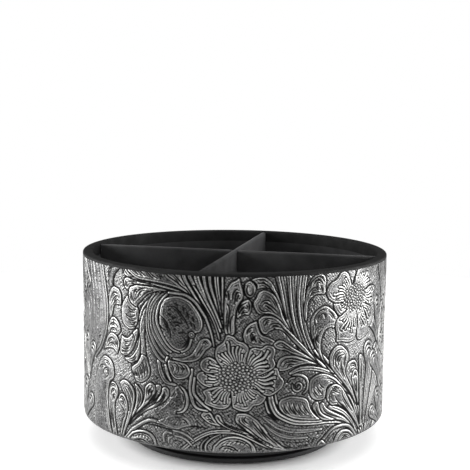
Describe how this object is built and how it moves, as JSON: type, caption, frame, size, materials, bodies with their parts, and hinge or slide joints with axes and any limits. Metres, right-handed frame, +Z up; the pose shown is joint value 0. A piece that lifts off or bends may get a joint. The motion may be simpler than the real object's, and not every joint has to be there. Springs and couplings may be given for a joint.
{
  "type": "rotating pen holder",
  "caption": "Round desk caddy with an embossed leather wall, crossed dividers and open compartments, turning freely on a low ball-bearing base.",
  "frame": {"origin": "on the axis of rotation, in the plane where the rubber feet meet the desk", "axes": "+Z up along the axis of rotation; +X along the long divider; +Y along the cross divider, towards the seam at the back of the leather"},
  "size_m": [0.16, 0.16, 0.1],
  "materials": {
    "embossed_leather": "embossed floral relief, pewter with dark antiqued recesses, satin",
    "tube_board": "rolled greyboard",
    "fibreboard": "raw fibreboard",
    "binding": "black synthetic leather strip, matt",
    "lining_cloth": "black brushed lining cloth",
    "felt": "black felt",
    "cover_paper": "black textured cover paper",
    "black_plastic": "moulded black plastic, fine satin texture",
    "cage_plastic": "natural white plastic",
    "steel": "zinc plated",
    "bearing_steel": "polished steel",
    "foot_rubber": "matt black rubber"
  },
  "bodies": {
    "base": {"base_plate": "black_plastic", "rubber_foot_1": "foot_rubber", "rubber_foot_2": "foot_rubber", "rubber_foot_3": "foot_rubber", "rubber_foot_4": "foot_rubber", "pivot_bolt": "steel", "pivot_washer": "steel", "pivot_nut": "steel"},
    "drum": {"drum_shell": "tube_board", "leather_wrap": "embossed_leather", "rim_binding": "binding", "wall_liner": "lining_cloth", "floor_board": "fibreboard", "underside_cover": "cover_paper", "long_divider_board": "fibreboard", "long_divider_lining": "lining_cloth", "cross_divider_board": "fibreboard", "cross_divider_lining": "lining_cloth", "floor_pad_front_right": "felt", "floor_pad_back_right": "felt", "floor_pad_back_left": "felt", "floor_pad_front_left": "felt", "turntable_plate": "black_plastic", "turntable_screws": "steel"},
    "bearing": {"ball_cage": "cage_plastic", "bearing_balls": "bearing_steel"}
  },
  "joints": [
    {"name": "drum_spin", "type": "hinge", "parent": "base", "child": "drum", "pos_m": [0, 0, 0], "axis": [0, 0, 1], "continuous": true},
    {"name": "bearing_orbit", "type": "hinge", "parent": "base", "child": "bearing", "pos_m": [0, 0, 0], "axis": [0, 0, 1], "continuous": true}
  ],
  "couplings": [
    {"joint": "bearing_orbit", "follows": "drum_spin", "ratio": 0.5}
  ]
}
